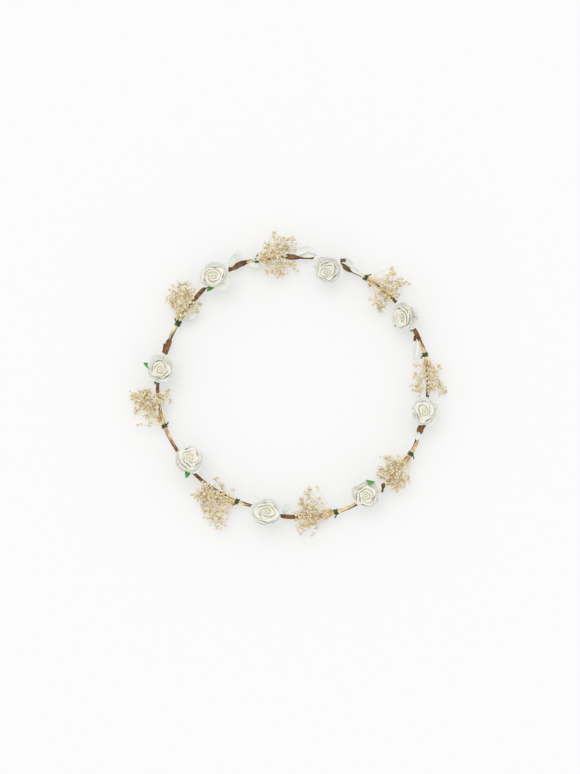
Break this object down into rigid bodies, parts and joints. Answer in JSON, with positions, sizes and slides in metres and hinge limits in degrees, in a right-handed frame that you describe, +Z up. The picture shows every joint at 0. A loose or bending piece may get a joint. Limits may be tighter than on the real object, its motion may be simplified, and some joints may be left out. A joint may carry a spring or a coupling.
{
  "type": "flower crown",
  "caption": "Light taped-wire hoop worn round the head, carrying paper roses on bendable stems between tied sprays of small dried flowers and thin paper leaves.",
  "frame": {"origin": "centre of the head opening, on the plane of the hoop wire", "axes": "+Z up through the head opening, towards the faces of the roses; +X to the wearer's side across the longer way of the hoop; +Y towards the upper edge of the crown as it lies"},
  "size_m": [0.2118, 0.2064, 0.0276],
  "materials": {
    "wire": "satin",
    "brown_tape": "matte",
    "stem_green": "matte",
    "sepal_green": "matte",
    "petal_white": "matte",
    "bud_cream": "matte",
    "straw": "matte",
    "dried_flower": "matte",
    "tie_green": "satin",
    "leaf_white": "matte"
  },
  "bodies": {
    "root": {"hoop_wire": "wire", "hoop_tape": "brown_tape", "rose_1_stem": "stem_green", "spray_1_stems": "straw", "spray_1_blooms": "dried_flower", "tie_1": "tie_green", "rose_2_stem": "stem_green", "spray_2_stems": "straw", "spray_2_blooms": "dried_flower", "tie_2": "tie_green", "rose_3_stem": "stem_green", "spray_3_stems": "straw", "spray_3_blooms": "dried_flower", "tie_3": "tie_green", "rose_4_stem": "stem_green", "spray_4_stems": "straw", "spray_4_blooms": "dried_flower", "tie_4": "tie_green", "rose_5_stem": "stem_green", "spray_5_stems": "straw", "spray_5_blooms": "dried_flower", "tie_5": "tie_green", "rose_6_stem": "stem_green", "spray_6_stems": "straw", "spray_6_blooms": "dried_flower", "tie_6": "tie_green", "rose_7_stem": "stem_green", "spray_7_stems": "straw", "spray_7_blooms": "dried_flower", "tie_7": "tie_green", "rose_8_stem": "stem_green", "spray_8_stems": "straw", "spray_8_blooms": "dried_flower", "tie_8": "tie_green", "leaves_upper": "leaf_white", "leaves_lower": "leaf_white"},
    "rose_1": {"rose_1_calyx": "sepal_green", "rose_1_petals": "petal_white", "rose_1_bud": "bud_cream"},
    "rose_2": {"rose_2_calyx": "sepal_green", "rose_2_petals": "petal_white", "rose_2_bud": "bud_cream"},
    "rose_3": {"rose_3_calyx": "sepal_green", "rose_3_petals": "petal_white", "rose_3_bud": "bud_cream"},
    "rose_4": {"rose_4_calyx": "sepal_green", "rose_4_petals": "petal_white", "rose_4_bud": "bud_cream"},
    "rose_5": {"rose_5_calyx": "sepal_green", "rose_5_petals": "petal_white", "rose_5_bud": "bud_cream"},
    "rose_6": {"rose_6_calyx": "sepal_green", "rose_6_petals": "petal_white", "rose_6_bud": "bud_cream"},
    "rose_7": {"rose_7_calyx": "sepal_green", "rose_7_petals": "petal_white", "rose_7_bud": "bud_cream"},
    "rose_8": {"rose_8_calyx": "sepal_green", "rose_8_petals": "petal_white", "rose_8_bud": "bud_cream"}
  },
  "joints": [
    {"name": "rose_1_nod", "type": "hinge", "parent": "root", "child": "rose_1", "pos_m": [-0.05287, 0.0739, 0.006], "axis": [-0.8379, -0.5458, 0], "range_deg": [-20, 20]},
    {"name": "rose_2_nod", "type": "hinge", "parent": "root", "child": "rose_2", "pos_m": [0.023, 0.08065, 0.006], "axis": [-0.963, 0.2696, 0], "range_deg": [-20, 20]},
    {"name": "rose_3_nod", "type": "hinge", "parent": "root", "child": "rose_3", "pos_m": [0.07784, 0.04991, 0.006], "axis": [-0.5745, 0.8185, 0], "range_deg": [-20, 20]},
    {"name": "rose_4_nod", "type": "hinge", "parent": "root", "child": "rose_4", "pos_m": [0.08722, -0.01586, 0.006], "axis": [0.1773, 0.9841, 0], "range_deg": [-20, 20]},
    {"name": "rose_5_nod", "type": "hinge", "parent": "root", "child": "rose_5", "pos_m": [0.0482, -0.07058, 0.006], "axis": [0.8505, 0.526, 0], "range_deg": [-20, 20]},
    {"name": "rose_6_nod", "type": "hinge", "parent": "root", "child": "rose_6", "pos_m": [-0.01931, -0.0857, 0.006], "axis": [0.9758, -0.2187, 0], "range_deg": [-20, 20]},
    {"name": "rose_7_nod", "type": "hinge", "parent": "root", "child": "rose_7", "pos_m": [-0.07289, -0.05158, 0.006], "axis": [0.6108, -0.7918, 0], "range_deg": [-20, 20]},
    {"name": "rose_8_nod", "type": "hinge", "parent": "root", "child": "rose_8", "pos_m": [-0.09047, 0.01256, 0.006], "axis": [-0.1333, -0.9911, 0], "range_deg": [-20, 20]}
  ]
}
